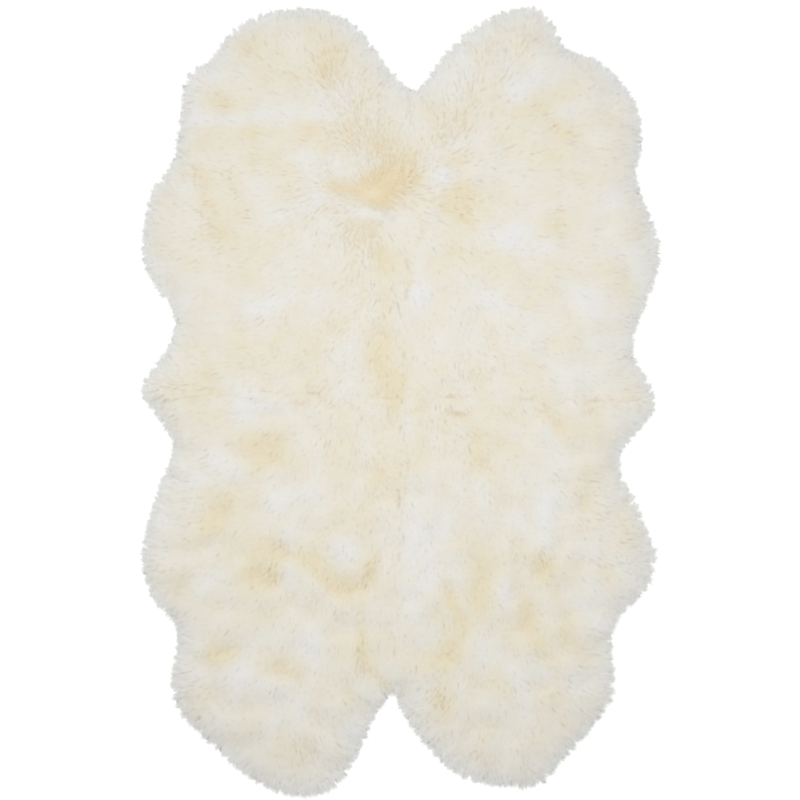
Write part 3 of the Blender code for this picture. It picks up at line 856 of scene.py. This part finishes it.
# The locks grow from the under-wool. Each is a tapered spindle with three sides, rooted in the felt.
# It rises a little and then follows the felt the way it was combed. Those of one tuft are alike, and
# lean together slightly.
LOCK_INPUTS = {
    "Lock Spacing": ("NodeSocketFloat", 0.0029),
    "Lock Length": ("NodeSocketFloat", 0.046),
    "Lock Width": ("NodeSocketFloat", 0.0030),
    "Lock Thickness": ("NodeSocketFloat", 0.00035),
    "Lift": ("NodeSocketFloat", 0.0032),
    "Sink": ("NodeSocketFloat", 0.0015),
    "Tuft Spacing": ("NodeSocketFloat", 0.022),
    "Tuft Pull": ("NodeSocketFloat", 0.03),
    "Tuft Turn": ("NodeSocketFloat", 0.02),
    "Lock Turn": ("NodeSocketFloat", 0.13),
    "Root Warmth": ("NodeSocketFloat", 0.35),
    "Bend": ("NodeSocketFloat", 0.002),
    "Floor": ("NodeSocketFloat", 0.001),
    "Top": ("NodeSocketFloat", 0.058),
    "Seed": ("NodeSocketInt", 1),
    "Wool": ("NodeSocketMaterial", None),
}
TRIED_PER_PLACE = 4.0
TUFT_SEED_STEP = 100
STEEPNESS_SCALE = 2.0
STEEP_RISE = 0.5
RIM_REACH = 0.08
RIM_DROOP = 0.35
RIM_FLATTENS = 0.35
OWN_LIE = 0.85
TUFT_LIE = 0.15
OWN_TINT = 0.6
TUFT_TINT = 0.4
UPRIGHT_SHORTENS = 0.6
UPRIGHT_RAISES = 0.3
SLIMNESS_POWER = 1.1
ALONG_POWER = 0.8
RISE_POWER = 4.0
PULL_POWER = 1.3
FIBRES_ACROSS = 1500.0
FIBRES_ALONG = 90.0
FIBRE_VARIETY = 300.0
FAR_AWAY = 9.0


def lock_tree():
    """The Geometry Nodes tree that grows locks on an under-wool mesh."""
    tree = tree_with("wool locks", LOCK_INPUTS)

    def node(kind, settings=None, inputs=None):
        return Wire.node(tree, kind, settings, inputs)

    def named(label, kind="FLOAT"):
        return node("GeometryNodeInputNamedAttribute", {"data_type": kind}, {"Name": label})

    def stored(geometry, label, value, kind="FLOAT"):
        settings = {"data_type": kind, "domain": "POINT"}
        inputs = {"Geometry": geometry, "Name": label, "Value": value}
        return node("GeometryNodeStoreNamedAttribute", settings, inputs)

    def random(low, high, seed, number=None):
        inputs = {"Min": low, "Max": high, "Seed": seed}
        if number is not None:
            inputs["ID"] = number
        return node("FunctionNodeRandomValue", {"data_type": "FLOAT"}, inputs)

    asked = node("NodeGroupInput")
    felt = asked["Geometry"]
    grows = named("grows", "BOOLEAN")

    def scattered(spacing, seed):
        inputs = {
            "Mesh": felt,
            "Selection": grows,
            "Distance Min": spacing,
            "Density Max": TRIED_PER_PLACE / (spacing * spacing),
            "Seed": seed,
        }
        return node("GeometryNodeDistributePointsOnFaces", {"distribute_method": "POISSON"}, inputs)

    roots = scattered(asked["Lock Spacing"], asked["Seed"])
    tufts = scattered(asked["Tuft Spacing"], asked["Seed"] + TUFT_SEED_STEP)
    position = node("GeometryNodeInputPosition")
    nearest = node("GeometryNodeSampleNearest", {"domain": "POINT"}, {"Geometry": tufts})

    def of_tuft(value):
        settings = {"data_type": "FLOAT_VECTOR", "domain": "POINT"}
        inputs = {"Geometry": tufts, "Value": value, "Index": nearest}
        return node("GeometryNodeSampleIndex", settings, inputs)

    def vertical(height):
        return node("ShaderNodeCombineXYZ", {}, {"Z": height})

    comb = named("comb", "FLOAT_VECTOR")
    up = named("up", "FLOAT_VECTOR").maths("NORMALIZE")
    level = node("ShaderNodeSeparateXYZ", {}, {"Vector": up})["Z"]
    steepness = 1 - (level * STEEPNESS_SCALE).clamped()
    up = (up + vertical(steepness * STEEP_RISE)).maths("NORMALIZE")
    room = named("room")
    rim = 1 - (room / RIM_REACH).clamped()
    lie = comb * OWN_LIE + of_tuft(comb) * TUFT_LIE
    upright = 1 - lie.maths("LENGTH")["Value"].clamped()
    aside = up.maths("CROSS_PRODUCT", lie)
    turn = random(-1.0, 1.0, 11, nearest) * asked["Tuft Turn"]
    turn = turn + random(-1.0, 1.0, 12) * asked["Lock Turn"]
    lie = lie + aside * turn
    lie = lie + vertical(rim * -RIM_DROOP)
    lie = (lie - up * up.maths("DOT_PRODUCT", lie)["Value"]).maths("NORMALIZE")
    side = lie.maths("CROSS_PRODUCT", up)
    length = asked["Lock Length"] * random(0.75, 1.2, 13) * random(0.94, 1.06, 14, nearest)
    longest = room.most(0.0) * random(0.96, 1.02, 15, nearest) + random(0.002, 0.015, 16)
    length = length.least(longest) * (1 - upright * UPRIGHT_SHORTENS)
    slimness = (length / asked["Lock Length"]).clamped() ** SLIMNESS_POWER
    pull = (of_tuft(position) - position).maths("DOT_PRODUCT", side)["Value"]
    pull = pull * asked["Tuft Pull"]
    lift = asked["Lift"] * random(0.94, 1.06, 17) * random(0.97, 1.03, 18, nearest)
    lift = lift * (1 - rim * RIM_FLATTENS) * (1 + upright * UPRIGHT_RAISES)
    tint = random(0.0, 1.0, 20) * OWN_TINT + random(0.0, 1.0, 21, nearest) * TUFT_TINT

    points = roots["Points"]
    points = stored(points, "root", position, "FLOAT_VECTOR")
    points = stored(points, "reach", lie * length, "FLOAT_VECTOR")
    points = stored(points, "length", length)
    points = stored(points, "side", side, "FLOAT_VECTOR")
    points = stored(points, "pull", pull)
    points = stored(points, "lift", lift)
    points = stored(points, "slimness", slimness)
    points = stored(points, "bend", asked["Bend"] * random(-1.0, 1.0, 19))
    points = stored(points, "tint", tint)

    inputs = {"Segments": 3, "Rings": 2, "Radius": 1.0}
    spindle = node("GeometryNodeMeshUVSphere", {}, inputs)["Mesh"]
    locks = node("GeometryNodeInstanceOnPoints", {}, {"Points": points, "Instance": spindle})
    locks = node("GeometryNodeRealizeInstances", {}, {"Geometry": locks})

    from_root = position - named("root", "FLOAT_VECTOR")
    local = node("ShaderNodeSeparateXYZ", {}, {"Vector": from_root})
    along = (local["Z"] * 0.5 + 0.5) ** ALONG_POWER
    girth = named("slimness")
    rise = 1 - (1 - along) ** RISE_POWER
    height = named("lift") * rise - asked["Sink"] * (1 - along)
    shift = named("pull") * along ** PULL_POWER + named("bend") * along * along
    shift = shift + local["Y"] * asked["Lock Width"] * girth
    height = height + local["X"] * asked["Lock Thickness"] * girth
    laid = named("root", "FLOAT_VECTOR") + named("reach", "FLOAT_VECTOR") * along
    laid = laid + named("side", "FLOAT_VECTOR") * shift
    inputs = {"Mesh": felt, "Value": position, "Sample Position": laid}
    below = node("GeometryNodeSampleNearestSurface", {"data_type": "FLOAT_VECTOR"}, inputs)
    drop = node("ShaderNodeSeparateXYZ", {}, {"Vector": below - laid})["Z"]
    place = laid + up * height + vertical(drop)
    inputs = {"X": -FAR_AWAY, "Y": -FAR_AWAY, "Z": asked["Floor"]}
    lowest = node("ShaderNodeCombineXYZ", {}, inputs)
    inputs = {"X": FAR_AWAY, "Y": FAR_AWAY, "Z": asked["Top"]}
    highest = node("ShaderNodeCombineXYZ", {}, inputs)
    place = place.most(lowest).least(highest)
    across = local["Y"] * asked["Lock Width"] * FIBRES_ACROSS
    lengthwise = along * asked["Lock Length"] * FIBRES_ALONG
    inputs = {"X": across, "Y": lengthwise, "Z": named("tint") * FIBRE_VARIETY}
    fibre = node("ShaderNodeCombineXYZ", {}, inputs)
    inputs = {"Mesh": felt, "Value": named("warm"), "Sample Position": place}
    around = node("GeometryNodeSampleNearestSurface", {"data_type": "FLOAT"}, inputs)
    warm = named("warm") * asked["Root Warmth"] + around * (1 - asked["Root Warmth"])
    locks = stored(locks, "warm", warm)
    locks = stored(locks, "room", named("room") - named("length") * along)
    locks = stored(locks, "along", along)
    locks = stored(locks, "fibre", fibre, "FLOAT_VECTOR")
    locks = node("GeometryNodeSetPosition", {}, {"Geometry": locks, "Position": place})
    locks = node("GeometryNodeSetShadeSmooth", {}, {"Geometry": locks, "Shade Smooth": False})
    locks = node("GeometryNodeSetMaterial", {}, {"Geometry": locks, "Material": asked["Wool"]})
    out = tree.nodes.new("NodeGroupOutput")
    tree.links.new(locks.socket, out.inputs["Geometry"])
    return tree


lock_growth = lock_tree()
for number, pelt in enumerate(PELTS):
    pad = build_underwool(pelt)
    locks = made_by(lock_growth, pad, "wool_" + pelt, {"Seed": number + 1, "Wool": lock_finish})
    pad.data.materials.append(felt_finish)
    for piece in (pad, locks):
        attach(piece, "root")
    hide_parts("fleece_" + pelt)
